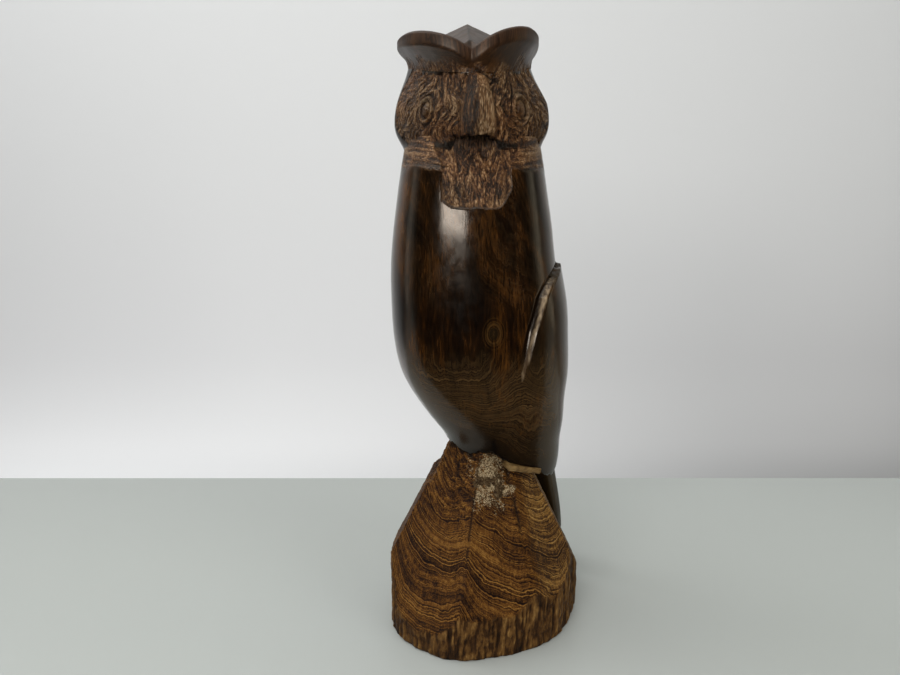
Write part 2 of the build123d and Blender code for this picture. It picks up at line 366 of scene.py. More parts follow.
class Shader:
    """The node tree of a material or a world, with short ways to add nodes and join them."""

    def __init__(self, owner, surface="Principled BSDF", coordinates="Object"):
        owner.use_nodes = True
        self.owner, self.tree, self.coordinates = owner, owner.node_tree, coordinates
        self.surface = self.tree.nodes[surface]

    @cached_property
    def place(self):
        """Where on the piece, or in which direction, a point lies."""
        return self.node("ShaderNodeTexCoord", output=self.coordinates)

    def node(self, kind, inputs=None, output=0, **settings):
        return Flow(self, add_node(self.tree, kind, inputs, **settings).outputs[output])

    def math(self, operation, a, b=0.0, clamp=False):
        return self.node("ShaderNodeMath", {0: a, 1: b}, operation=operation, use_clamp=clamp)

    def between(self, value, low, high, to_low=0.0, to_high=1.0, shape="SMOOTHSTEP"):
        """From to_low, where the value is low, to to_high, where it is high."""
        inputs = {"Value": value, "From Min": low, "From Max": high, "To Min": to_low, "To Max": to_high}
        return self.node("ShaderNodeMapRange", inputs, interpolation_type=shape)

    def scaled(self, vector, scale, shift=(0, 0, 0)):
        return self.node("ShaderNodeMapping", {"Vector": vector, "Scale": scale, "Location": shift})

    def length(self, vector):
        return self.node("ShaderNodeVectorMath", {0: vector}, "Value", operation="LENGTH")

    def parts(self, vector):
        """A vector's X, Y and Z."""
        apart = add_node(self.tree, "ShaderNodeSeparateXYZ", {0: vector})
        return [Flow(self, socket) for socket in apart.outputs]

    def noise(self, vector, scale, detail=3.0, roughness=0.55, distortion=0.0):
        inputs = {"Vector": vector, "Scale": scale, "Detail": detail, "Roughness": roughness,
                  "Distortion": distortion}
        return self.node("ShaderNodeTexNoise", inputs)

    def drawn_noise(self, lengthwise, scale, *character, shift=(0, 0, 0)):
        """Noise drawn out along Z, as wood fibres are: the smaller lengthwise is, the longer."""
        return self.noise(self.scaled(self.place, (1.0, 1.0, lengthwise), shift), scale, *character)

    def lines(self, value, scale, detail=2.0):
        """Irregular lines along a single number, such as the distance from the pith."""
        inputs = {"W": value, "Scale": scale, "Detail": detail}
        return self.node("ShaderNodeTexNoise", inputs, noise_dimensions="1D")

    def mark(self, name):
        return self.node("ShaderNodeAttribute", output="Fac", attribute_name=name)

    def ramp(self, value, stops):
        made = add_node(self.tree, "ShaderNodeValToRGB", {0: value})
        elements = made.color_ramp.elements
        while len(elements) < len(stops):
            elements.new(0.5)
        for element, (place, colour) in zip(elements, stops):
            element.position, element.color = place, (*colour, 1.0)
        return Flow(self, made.outputs[0])

    def mix(self, share, a, b, blend="MIX"):
        first, second = (c if isinstance(c, Flow) else (*c, 1.0) for c in (a, b))
        inputs = {0: share, 6: first, 7: second}
        return self.node("ShaderNodeMix", inputs, 2, data_type="RGBA", blend_type=blend)

    def relief(self, height, distance, strength=1.0, under=None):
        """Bumps of that height in metres, over another relief where one is given."""
        inputs = {"Height": height, "Distance": distance, "Strength": strength}
        if under is not None:
            inputs["Normal"] = under
        return self.node("ShaderNodeBump", inputs)

    def finish(self, **inputs):
        """The material or world, once the surface's inputs are set; their names have _ for a space."""
        for key, value in inputs.items():
            socket = self.surface.inputs[key.replace("_", " ")]
            if isinstance(value, Flow):
                self.tree.links.new(value.socket, socket)
            else:
                socket.default_value = (*value, 1.0) if isinstance(value, tuple) else value
        return self.owner


def new_shader(name):
    """The shader of a new material."""
    return Shader(bpy.data.materials.new(name))


# ---- woods -------------------------------------------------------------------------------
def growth_rings(s, pith, sway_size, waver_size, ripple_size):
    """The wandering distance from the pith, in metres: equal values lie on one growth ring."""
    away = s.length(s.scaled(s.place, (1.0, 1.0, 0.0), (-pith[0] * MM, -pith[1] * MM, 0.0)))
    sway = s.drawn_noise(0.45, 14.0, 2.0)
    waver = s.drawn_noise(0.35, 75.0, 3.0, shift=(3.1, 1.7, 0.4))
    ripple = s.drawn_noise(0.5, 420.0, 2.0)
    return away + sway * sway_size + ripple * ripple_size + waver * waver_size


def knot_swell(s, middle, size):
    """1 in the middle of a knot, falling to 0 outside it; middle and size in mm."""
    shrink = tuple(1 / (k * MM) for k in size)
    away = s.length(s.scaled(s.place, shrink, tuple(-m / k for m, k in zip(middle, size))))
    return s.math("POWER", 2.718, away * away * -1.0)


def hatching(s, lay):
    """Place stretched along knife strokes that lean by the angle "lay" from upright, seen from the front."""
    x, y, z = s.parts(s.scaled(s.place, (1.0, 1.0, 1.0), (0.008, 0.0, -0.27)))
    sine, cosine = s.math("SINE", lay), s.math("COSINE", lay)
    over = x * cosine - z * sine
    along = x * sine + z * cosine
    return s.node("ShaderNodeCombineXYZ", {0: over, 1: y, 2: along * 0.15})


def polished_wood():
    """Buffed dark ironwood, with matt lighter carving where the mark "carved" says so."""
    s = new_shader("polished_ironwood")
    outward, _, height = s.parts(s.place)
    swell = knot_swell(s, KNOT, KNOT_SIZE)
    rings = growth_rings(s, PITH, 0.020, 0.0030, 0.0005) + swell * 0.0075
    fine, hair = s.lines(rings, 4000.0), s.lines(rings, 7600.0)
    flame = s.drawn_noise(0.22, 85.0, 4.0, 0.6, 0.5, shift=(0.3, 0.1, 0.2))
    fibre = s.drawn_noise(0.10, 1100.0, 3.0, 0.6)
    cloud = s.noise(s.place, 26.0, 2.0)

    # figure: rings high up, streaks over the belly where the cut runs along the rings
    streak = s.drawn_noise(0.20, 190.0, 5.0, 0.68, 0.7)
    tangent = s.between(height, 0.200, 0.180) * s.between(height, 0.148, 0.160)
    broad = s.mix(tangent, s.lines(rings, 300.0, 3.0), streak)
    # belly lifts the figure a little round the belly's height: a painted pool of light on the belly
    belly = s.between(height, 0.225, 0.200) * s.between(height, 0.152, 0.170)
    figure = broad * 0.42 + flame * 0.55 + (cloud - 0.5) * 0.35 + belly * 0.012
    wander = (flame - 0.5) * 0.030
    low = s.between(height + wander, 0.168, 0.150)
    wood = s.ramp(figure, [(0.40, (0.0019, 0.0009, 0.0005)), (0.46, (0.0050, 0.0021, 0.0008)),
                           (0.52, (0.0100, 0.0038, 0.0011)), (0.59, (0.026, 0.0096, 0.0019)),
                           (0.70, (0.070, 0.027, 0.0045))])
    wood = s.mix(low * 0.75, wood, (0.0180, 0.0098, 0.0040))

    # ring lines, strongest low on the body
    line = s.between(fine, 0.49, 0.60) * 0.75 + s.between(hair, 0.48, 0.62) * 0.45
    strong = low * 0.48 + (1.0 - tangent) * 0.12
    glow = s.math("MULTIPLY", line * s.between(figure, 0.38, 0.54, 0.35, 1.0), strong, True)
    wood = s.mix(glow, wood, (0.084, 0.048, 0.0185))
    fleck = s.between(fibre, 0.53, 0.70) * s.between(figure, 0.46, 0.62, 0.05, 0.55)
    wood = s.mix(fleck, wood, (0.082, 0.031, 0.0060))
    foot = s.between(height + wander * 0.5, 0.130, 0.114) * 0.65
    wood = s.mix(foot, wood, (0.0055, 0.0028, 0.0012))

    # the knot: a rim, circles round it and a dark core
    rim = s.between(swell, 0.42, 0.56) * s.between(swell, 0.74, 0.62)
    wood = s.mix(rim * 0.40, wood, (0.060, 0.030, 0.0090))
    circle = s.between(s.math("SINE", swell * 34.0), 0.1, 0.9) * s.between(swell, 0.16, 0.30)
    wood = s.mix(circle * 0.30, wood, (0.066, 0.032, 0.0080))
    wood = s.mix(s.between(swell, 0.70, 0.84) * 0.75, wood, (0.0095, 0.0060, 0.0026))

    # a painted sheen that lightens the left flank, at +X, and dark pores everywhere
    wood = s.mix(s.between(outward, 0.016, 0.040) * 0.34, wood, (0.050, 0.033, 0.0145))
    pores = s.between(fibre, 0.47, 0.34) * (0.7 - low * 0.4)
    wood = s.mix(pores, wood, (0.0025, 0.0013, 0.0007))

    # carved areas: cut fibres are paler, and the colour follows the strokes' relief, with a painted highlight
    # on the ridges and painted shade, almost black, in the cuts
    comb = s.noise(hatching(s, s.mark("lay")), 1900.0, 2.0, 0.6, 0.3)
    tone = s.mark("ridge") * 0.30 + s.drawn_noise(0.45, 620.0, 4.0, 0.75) * 0.22 + comb * 0.78
    cut = s.ramp(tone, [(0.50, (0.0030, 0.0010, 0.0004)), (0.58, (0.0160, 0.0056, 0.0016)),
                        (0.65, (0.052, 0.0215, 0.0065)), (0.74, (0.116, 0.060, 0.023)),
                        (0.86, (0.27, 0.19, 0.110))])
    # painted glints: white-pink flecks of highlight over the lower bib
    painted_glint = s.between(s.noise(s.place, 2300.0, 2.0, 0.8), 0.60, 0.68)
    bib = s.between(height, 0.262, 0.248) * s.between(comb, 0.48, 0.58)
    cut = s.mix(painted_glint * bib * 0.55, cut, (0.50, 0.41, 0.33))
    redder = s.mix(1.0, cut, (1.25, 0.88, 0.55), "MULTIPLY")
    cut = s.mix(s.between(cloud, 0.40, 0.60) * 0.5, cut, redder)

    # lay the brow's band, the carving, the sapwood and the painted shade of gaps and hollows over the plain
    # wood
    carved, strip, sap = s.mark("carved"), s.mark("strip"), s.mark("sapwood")
    band = s.mix(s.between(fine, 0.4, 0.6), (0.012, 0.0048, 0.0028), (0.050, 0.021, 0.0095))
    pale = s.mix(s.between(s.drawn_noise(0.12, 500.0, 3.0), 0.4, 0.65),
                 (0.045, 0.025, 0.011), (0.26, 0.19, 0.115))
    colour = s.mix(carved, s.mix(strip * 0.75, wood, band), cut)
    colour = s.mix(s.mark("painted_shade"), s.mix(sap, colour, pale), (0.0030, 0.0018, 0.0012))

    matt = s.math("MAXIMUM", s.math("MAXIMUM", carved, sap * 0.6), strip * 0.75)
    worn = s.between(s.noise(s.place, 210.0, 3.0), 0.3, 0.7, 0.13, 0.21)
    gloss = worn + matt * 0.30 + strip * 0.22
    nicks = s.relief(comb, 0.0010, carved * 0.8, s.relief(fibre, 0.00012, 0.25))
    return s.finish(Base_Color=colour, Roughness=gloss, Normal=nicks, Specular_IOR_Level=0.35,
                    Specular_Tint=(1.0, 0.90, 0.78))


def raw_wood():
    """Hewn ironwood: ring lines cut by the sloping faces, and fibres down the uncut side."""
    s = new_shader("raw_ironwood")
    rings = growth_rings(s, STUMP_PITH, 0.016, 0.0015, 0.0003)
    broad, fine, hair = s.lines(rings, 420.0, 3.0), s.lines(rings, 2100.0), s.lines(rings, 4600.0, 1.0)
    fibre = s.drawn_noise(0.22, 700.0, 4.0, 0.7)
    patch = s.noise(s.place, 32.0, 3.0)
    speck = s.noise(s.place, 1700.0, 2.0, 0.7)
    ridge, dust = s.mark("ridge"), s.mark("dust")
    tone = broad * 0.26 + fine * 0.30 + hair * 0.44
    for layer, weight in ((fibre, 0.34), (speck, 0.34), (patch, 0.30), (ridge, 0.20)):
        tone = tone + (layer - 0.5) * weight
    colour = s.ramp(tone, [(0.37, (0.0048, 0.0018, 0.0006)), (0.45, (0.021, 0.0080, 0.0020)),
                           (0.51, (0.058, 0.0220, 0.0036)), (0.58, (0.106, 0.043, 0.0070)),
                           (0.72, (0.21, 0.105, 0.023))])
    bark = s.ramp(fibre * 0.9 + ridge * 0.35,
                  [(0.36, (0.0055, 0.0022, 0.0008)), (0.56, (0.034, 0.0145, 0.0040)),
                   (0.76, (0.100, 0.048, 0.0125)), (0.95, (0.22, 0.125, 0.040))])
    colour = s.mix(s.mark("side"), colour, bark)
    # painted olive light on the stump's right side, then painted shade in its creases and along the rim under
    # the seat
    painted_olive_light = s.mix(1.0, colour, (1.72, 2.14, 3.20), "MULTIPLY")
    colour = s.mix(s.mark("painted_olive_light"), colour, painted_olive_light)
    colour = s.mix(s.mark("painted_shade"), colour, (0.0065, 0.0035, 0.0020))
    crumb = s.noise(s.place, 1000.0, 3.0, 0.75)
    dusted = s.between(crumb + dust * 0.28, 0.62, 0.76) * s.between(dust, 0.02, 0.16)
    sawdust = s.mix(s.between(speck, 0.4, 0.62), (0.085, 0.056, 0.027), (0.36, 0.285, 0.175))
    weave = s.relief(fibre, 0.0009, 0.50, s.relief(fine, 0.0010, 0.45))
    crumbs = s.relief(s.noise(s.place, 1500.0, 3.0, 0.7), 0.0004, 0.5, weave)
    return s.finish(Base_Color=s.mix(dusted, colour, sawdust), Normal=crumbs, Specular_IOR_Level=0.10,
                    Roughness=s.between(fibre, 0.3, 0.7, 0.50, 0.68))


def filler_wood():
    """Sawdust bound with glue: pale grains with dark gaps."""
    s = new_shader("sawdust_filler")
    grain = s.node("ShaderNodeTexVoronoi", {"Vector": s.place, "Scale": 900.0}, "Distance")
    tint = s.noise(s.place, 420.0, 4.0, 0.7)
    tone = tint * 0.9 + grain * -0.35 + s.mark("tint") * 0.25
    colour = s.ramp(tone, [(0.15, (0.020, 0.011, 0.004)), (0.36, (0.062, 0.038, 0.017)),
                           (0.56, (0.135, 0.096, 0.050)), (0.80, (0.31, 0.245, 0.145))])
    return s.finish(Base_Color=colour, Roughness=0.72, Normal=s.relief(tint, 0.0012, 0.7),
                    Specular_IOR_Level=0.12)


def shim_wood():
    """A sawn sliver of yellow sapwood, its fibres along X."""
    s = new_shader("pale_shim")
    fibre = s.noise(s.scaled(s.place, (0.12, 1.0, 1.0)), 900.0, 4.0, 0.6)
    tone = fibre * 0.6 + s.noise(s.place, 110.0, 3.0) * 0.5
    colour = s.ramp(tone, [(0.35, (0.032, 0.017, 0.006)), (0.52, (0.100, 0.058, 0.020)),
                           (0.72, (0.215, 0.138, 0.054))])
    return s.finish(Base_Color=colour, Roughness=0.5, Normal=s.relief(fibre, 0.0006, 0.5),
                    Specular_IOR_Level=0.2)


def peg_wood():
    """Plain turned peg, with straight grain."""
    s = new_shader("peg_wood")
    fibre = s.drawn_noise(0.08, 800.0, 4.0, 0.6)
    colour = s.ramp(fibre, [(0.35, (0.20, 0.11, 0.05)), (0.65, (0.42, 0.27, 0.14))])
    return s.finish(Base_Color=colour, Roughness=0.55, Normal=s.relief(fibre, 0.0004, 0.4))


WOODS = {"polished_ironwood": polished_wood, "raw_ironwood": raw_wood, "sawdust_filler": filler_wood,
         "pale_shim": shim_wood, "peg_wood": peg_wood}


@cache
def material(name):
    """The named material, made the first time that it is asked for."""
    return WOODS[name]()


# ---- the seat between owl and stump ------------------------------------------------------
def seat_height(x, y):
    """Height of the seam at a place, with the torn edge that a carver's saw and knife leave."""
    here = spot(x, y, 0.0)
    plane = SEAT_MIDDLE[2] - (x - SEAT_MIDDLE[0]) * np.tan(radians(SEAT_SLOPE))
    plane = plane + 5.0 * bump(x, 3.0, 11.0) * ease(-10, -24, y)
    torn = rough(here, 9.0, 21) * 3.2 + rough(here, 4.0, 27, 2) * 1.8 + rough(here, 2.0, 24, 2) * 1.3
    return plane + torn


def seam_line(surface, compass, start, share=0.5, turns=14, lift=0.0):
    """Heights where a surface meets the seat, approached turn by turn, and the last places tried."""
    high = np.full_like(compass, start)
    for _ in range(turns):
        here = surface(compass, high)
        high = (1 - share) * high + share * (seat_height(here[..., 0], here[..., 1]) + lift)
    return high, here


def seat_rows(edge, steps, centre, lift):
    """Rows of points that follow the seat between its centre, at step 0, and an edge, at step 1."""
    rows = []
    for share in steps:
        x, y = (edge[:, k] * share + centre[k] * (1 - share) for k in (0, 1))
        rows.append(spot(x, y, seat_height(x, y) + lift))
    return np.stack(rows)


def carried_on(marks, below, above=0):
    """Marks repeated over the rows that close a skin below and above."""
    return {name: np.concatenate([np.repeat(mark[:1], below, 0), mark, np.repeat(mark[-1:], above, 0)])
            for name, mark in marks.items()}


# ---- body --------------------------------------------------------------------------------
def body_place(compass, height):
    """The body's smooth surface, before any carving."""
    x, y, wide, deep = (spline(BODY_SECTIONS[:, 0], BODY_SECTIONS[:, k], height) for k in (1, 2, 3, 4))
    return polar(compass, oval_radius(compass, wide, deep, 2.12), height, x, y)


def wing_marks(compass, height):
    """Degrees that a place lies inside the nearer wing, behind its leading edge and round from the belly."""
    belly = wrapped(compass + BODY_TURN)
    edge = np.interp(height, [104, 122, 138, 147, 153.5, 173, 189.5, 194.7, 198.5, 201.7, 203.6],
                     [100, 82, 70, 66, 67, 74.7, 85, 92.5, 101, 112, 125])
    rear = np.interp(height, [104, 120, 150, 180, 196, 204.5], [116, 142, 158, 156, 148, 124])
    ahead = np.abs(belly) - edge
    return np.minimum(ahead, rear - np.abs(belly)), ahead, belly


def gouge_way(a, u):
    """Gouge strokes run down the bib, more unruly near the throat."""
    unruly = 0.5 + 1.6 * ease(242, 256, u)
    return unit(0.012 * a + unruly * (noise(spot(a, u, 0.0), 4.0, 47) - 0.5), np.ones_like(a))


def owl_body():
    """The polished trunk from the seam up to the head, with its wings, bib and neck."""
    tall = BODY_TOP - 100
    heights = spaced(0.0, 1.0, lambda t: (0.95 - 0.45 * bump(100 + tall * t, 246, 22)) / tall)[:, None]
    compass = compass_columns(0.52, 0.95, -5, 75, 42)[None, :]
    low, _ = seam_line(body_place, compass, 100.0, share=1.0, turns=12, lift=0.6)
    height = low + (BODY_TOP - low) * heights
    points = body_place(compass, height)
    across, front = points[..., 0] + 7.0, ease(-8, -14, points[..., 1])
    # wings: raised behind a leading edge with a groove in front of it
    inside, ahead, belly = wing_marks(compass, height)
    raised = ease(-1.0, 2.4 + 16.0 * ease(160, 142, height), inside) * ease(112, 150, height)
    cut = bump(ahead, -1.8, 2.0) * ease(150, 178, height) * ease(207, 203, height) * (inside > -30)
    depth = 2.5 * raised - 1.5 * cut + 0.4 * rough(points, 34.0, 31, 2)
    # bib: a patch of gouge marks let into the chest
    lower = 231.5 + 3.2 * rough(points * [1, 0, 0], 7.0, 41, 2) + 5.0 * ease(6, 17, np.abs(across)) ** 2
    lower = lower + 4.5 * ease(11, 18, across)
    half = 17.2 + 1.4 * rough(points * [0, 0, 1], 8.0, 44, 2) + 4.0 * ease(250, 262, height)
    bib = ease(0.0, 1.1, half - np.abs(across)) * ease(0.0, 1.1, height - lower) * front
    gouges = 0.55 * strokes(across, height, gouge_way, 7.0, 1.2, 51)
    gouges = np.clip(gouges + 0.7 * strokes(across, height, gouge_way, 4.0, 0.62, 53), -1, 1)
    depth -= bib * (0.75 + 0.55 * (1 - gouges) * 0.5)
    # neck: rasp lines run round the neck on both sides, below the cheeks
    neck = front * ease(10, 14, np.abs(across)) * ease(249, 254, height + 2.5 * rough(points, 9.0, 61, 2))
    rasp = strokes(compass * 0.62 + 0 * height, height,
                   lambda a, u: unit(np.ones_like(a), 0.10 * np.sign(a)), 14.0, 1.0, 57)
    depth += neck * (0.30 * rasp - 0.25)
    lean = 0.012 * across + 1.5 * (noise(spot(across, height, 0.0), (4.0, 6.0, 4.0), 47) - 0.5)
    lay = np.where(bib > 0.5, stepped(lean), 0.5 * pi - 0.1 * np.sign(across))
    points = points + normals(points) * depth[..., None]
    # sapwood: a pale streak that the wing's edge cuts into
    streak = np.interp(height, [149, 153, 165, 178, 188, 196, 199], [0.1, 1.05, 0.45, 0.55, 1.15, 0.60, 0.1])
    wander = np.interp(height, [148, 160, 178, 190, 199], [0.0, -0.6, -1.0, -1.2, 0.0])
    sap = ease(0.5, -0.5, np.abs(ahead + wander) - streak) * (belly > 0) * (height > 149) * (height < 198)
    # painted shade: under the beak, in the gap along the torn lower edge, just above that edge at the front
    # and in the split above it; the groove before each wing gets it too
    cavity = ease(250, 262, height + 5.0 * rough(points, 4.0, 65, 2)) * front * ease(18, 10, np.abs(across))
    above_edge = height - low + 2.2 * rough(points, 3.0, 67, 3)
    split = points[..., 0] - 3.2 + 3.0 * rough(points, 3.0, 69, 3)
    torn = 0.95 * ease(2.4, 0.5, above_edge) + 0.55 * ease(13, 3, above_edge) * front
    torn = torn + bump(split, 0.0, 1.2) * ease(14, 7, above_edge) * front
    marks = {"carved": np.clip(bib + 0.85 * neck, 0, 1), "lay": lay, "sapwood": sap,
             "ridge": np.where(bib > 0.5, gouges, rasp) * 0.5 + 0.5,
             "painted_shade": np.clip(0.8 * cut + 0.45 * cavity + torn, 0, 1)}
    underside = seat_rows(points[0], (0.4, 0.7, 0.9, 0.97), (8.0, -3.0), 0.5)
    return skin("owl_body", np.concatenate([underside, points]), carried_on(marks, len(underside)),
                "polished_ironwood", bottom=(8.0, -3.0, 99.0), top=(HEAD_X, HEAD_Y, 269.0))


# ---- head --------------------------------------------------------------------------------
def face_top(compass):
    """Height of the line where the carved face meets the brow's cove."""
    return 292.2 + 7.4 * (1 - np.cos(np.radians(np.clip(np.abs(wrapped(compass)), 0, 90)))) ** 0.8


def head_radius(compass, height):
    """Distance of the head's plain surface from its axis; the left side, at +X, is leaner."""
    wide, deep, back = (spline(HEAD_SECTIONS[:, 0], HEAD_SECTIONS[:, k], height) for k in (1, 2, 3))
    turn = np.radians(compass)
    facing = ease(-0.15, 0.25, np.cos(turn))
    leaner = np.interp(height, [256, 265, 283, 289, 294, 303, 315], [0, 1.5, 1.1, 2.4, 3.2, 4.4, 3.6])
    return oval_radius(compass, wide - leaner * ease(0.1, 0.8, np.sin(turn)), back + (deep - back) * facing,
                       2.15 - 0.65 * facing * ease(256, 266, height))


def feather_way(a, u):
    """Strokes fan down and out from the brow's inner end, and curl round each eye."""
    side = np.sign(a)
    fan_a, fan_u = unit(a - side * 9.0, u - 309.0)
    centre = np.where(side < 0, EYES[0][0], EYES[1][0])
    curl_a, curl_u = unit(-(u - EYE_HEIGHT), a - centre)
    flip = np.where(curl_a * fan_a + curl_u * fan_u < 0, -1.0, 1.0)
    curled = np.exp(-(np.hypot(a - centre, u - EYE_HEIGHT) / 9.5) ** 2)
    way_a = fan_a * (1 - curled) + flip * curl_a * curled
    way_u = fan_u * (1 - curled) + flip * curl_u * curled
    here = spot(a, u, 0.0)
    sway = 2.0 * (noise(here, 5.5, 71) - 0.5) + 0.7 * (noise(here, 3.0, 72) - 0.5)
    return unit(*turned(way_a, way_u, sway))


def eyes(across, height):
    """Relief of an oval ring round a small ball in each eye, then ring, ball and nearness as marks."""
    relief, ring, ball, near = 0.0, 0.0, 0.0, 1e9
    for middle, half_wide, half_high, lean in EYES:
        a, u = turned(across - middle, height - EYE_HEIGHT, -lean)
        oval = np.hypot(a / half_wide, u / half_high)
        near = np.minimum(near, oval)
        ring = ring + bump(oval, 1.0, 0.17)
        ball = ball + ease(0.60, 0.48, oval)
        for height_mm, place, half in ((0.9, 1.0, 0.18), (-0.9, 0.78, 0.12), (-0.6, 1.28, 0.10)):
            relief = relief + height_mm * bump(oval, place, half)
        relief = relief + 1.3 * np.sqrt(np.clip(1 - (oval / 0.55) ** 2, 0, 1)) - 0.6 * ease(0.8, 0.66, oval)
    return relief, ring, ball, near


def face_cracks(across, height):
    """Cracks and slits that the knife or drying left."""
    return (groove(across, height, [(-0.5, 293.5), (5, 291.0), (11, 288.5)], 0.55)
            + groove(across, height, [(12.5, 279.0), (16.5, 274.6)], 0.8)
            + groove(across, height, [(47, 264.0), (44.5, 259.0)], 0.6)
            + groove(across, height, [(0.4, 266.5), (0.0, 277.0), (-0.3, 291.0)], 0.32) * 0.6)


def crown(edge, crest):
    """A low roof with its ridge running to the notch, dished behind the brows, and a painted shade line for
    its crack.
    """
    rho = 1 - shares(44)[1:]
    x, y = HEAD_X + (edge[..., 0] - HEAD_X) * rho, HEAD_Y + (edge[..., 1] - HEAD_Y) * rho
    inward = (1 - rho) * np.hypot(edge[..., 0] - HEAD_X, edge[..., 1] - HEAD_Y)
    behind = y - CROWN_PEAK[1]
    fall = np.where(behind < 0, -0.42 * behind, 0.34 * behind)
    roof = CROWN_PEAK[2] - 0.44 * np.abs(x - CROWN_PEAK[0]) - fall
    roof = np.minimum(roof, edge[..., 2] + 1.1 * inward)
    dish = edge[..., 2] - 0.42 * inward * crest + 0.10 * inward * (1 - crest)
    blend = np.clip(0.5 + 0.5 * (roof - dish) / 1.2, 0, 1)
    top = dish + (roof - dish) * blend + 1.2 * blend * (1 - blend)
    crack_shade = 0.8 * bump(x + 10.6 - 0.5 * np.sin(y / 3.0), 0.0, 0.55) * ease(-9, -12, y)
    return spot(x, y, top), crack_shade


